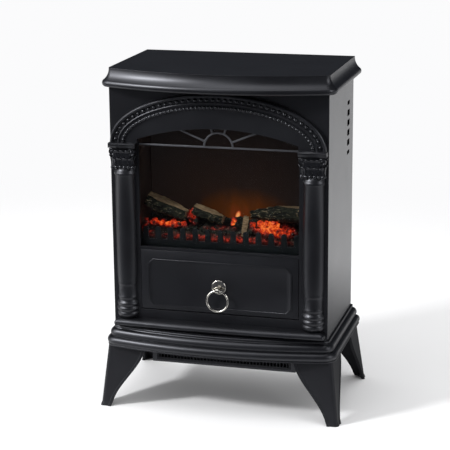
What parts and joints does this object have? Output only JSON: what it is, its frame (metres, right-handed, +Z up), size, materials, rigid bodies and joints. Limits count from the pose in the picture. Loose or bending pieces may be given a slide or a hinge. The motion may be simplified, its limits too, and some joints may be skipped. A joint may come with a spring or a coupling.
{
  "type": "electric stove heater",
  "caption": "Free-standing black stove-style electric heater: bowed lid, columned arch window with a log fire, drop-down control door with a ring pull, cabriole legs.",
  "frame": {"origin": "on the floor, at the middle of the stove's outer box", "axes": "+Z up; +X towards the stove's right as seen from the front; -Y is the front with the window and the door"},
  "size_m": [0.432, 0.2879, 0.6],
  "materials": {
    "cast_black": "satin",
    "sheet_black": "satin",
    "zinc_sheet": "satin",
    "steel": "satin",
    "nickel": "polished",
    "glass": "clear",
    "screen": "satin",
    "black_plastic": "matt",
    "log_ceramic": "matt",
    "ember": "matt",
    "light_board": "matt",
    "aluminium": "satin",
    "cutout": "matt"
  },
  "bodies": {
    "stove": {"arch_cove": "cast_black", "arch_moulding": "cast_black", "base_deck": "sheet_black", "base_moulding": "cast_black", "blower_bearing": "zinc_sheet", "blower_motor": "zinc_sheet", "chamber_roof": "zinc_sheet", "control_tray": "sheet_black", "cord_gland": "black_plastic", "ember_bed": "ember", "ember_light": "light_board", "fanlight": "sheet_black", "fire_shelf": "zinc_sheet", "flame_light": "light_board", "flame_screen": "screen", "fret": "sheet_black", "front_left_leg": "cast_black", "front_panel": "cast_black", "front_right_leg": "cast_black", "glass_clips": "zinc_sheet", "heater_housing": "sheet_black", "heating_element": "aluminium", "hinge_pins": "steel", "left_cheek": "zinc_sheet", "left_column": "cast_black", "left_side_panel": "sheet_black", "lid": "cast_black", "log_left": "log_ceramic", "log_middle": "log_ceramic", "log_right": "log_ceramic", "log_stub": "log_ceramic", "outlet_grille": "sheet_black", "rear_cover": "sheet_black", "rear_left_leg": "cast_black", "rear_right_leg": "cast_black", "rear_screws": "steel", "reflector": "zinc_sheet", "right_cheek": "zinc_sheet", "right_column": "cast_black", "right_side_panel": "sheet_black", "sill": "cast_black", "spindle_bearing": "zinc_sheet", "spindle_motor": "zinc_sheet", "switch_housings": "black_plastic", "thermal_cutout": "cutout", "thermostat_body": "black_plastic", "window_glass": "glass"},
    "door": {"control_door": "cast_black", "pull_boss": "nickel"},
    "ring": {"pull_ring": "nickel"},
    "power_rocker": {"power_rocker": "black_plastic"},
    "low_heat_rocker": {"low_heat_rocker": "black_plastic"},
    "high_heat_rocker": {"high_heat_rocker": "black_plastic"},
    "thermostat_knob": {"thermostat_knob": "black_plastic"},
    "flame_spindle": {"flame_spindle": "steel"},
    "blower_wheel": {"blower_wheel": "aluminium"}
  },
  "joints": [
    {"name": "door_hinge", "type": "hinge", "parent": "stove", "child": "door", "pos_m": [0, -0.0925, 0.1816], "axis": [1, 0, 0], "range_deg": [0, 90]},
    {"name": "ring_swing", "type": "hinge", "parent": "door", "child": "ring", "pos_m": [0, -0.107, 0.2236], "axis": [-1, 0, 0], "range_deg": [0, 90]},
    {"name": "power_rock", "type": "hinge", "parent": "stove", "child": "power_rocker", "pos_m": [-0.096, -0.0555, 0.232], "axis": [1, 0, 0], "range_deg": [0, 16]},
    {"name": "low_heat_rock", "type": "hinge", "parent": "stove", "child": "low_heat_rocker", "pos_m": [-0.062, -0.0555, 0.232], "axis": [1, 0, 0], "range_deg": [0, 16]},
    {"name": "high_heat_rock", "type": "hinge", "parent": "stove", "child": "high_heat_rocker", "pos_m": [-0.028, -0.0555, 0.232], "axis": [1, 0, 0], "range_deg": [0, 16]},
    {"name": "thermostat_turn", "type": "hinge", "parent": "stove", "child": "thermostat_knob", "pos_m": [0.072, -0.0706, 0.232], "axis": [0, -1, 0], "range_deg": [-270, 0]},
    {"name": "flame_turn", "type": "hinge", "parent": "stove", "child": "flame_spindle", "pos_m": [0, 0.017, 0.3264], "axis": [1, 0, 0], "continuous": true},
    {"name": "blower_turn", "type": "hinge", "parent": "stove", "child": "blower_wheel", "pos_m": [0, -0.0015, 0.1095], "axis": [1, 0, 0], "continuous": true}
  ]
}
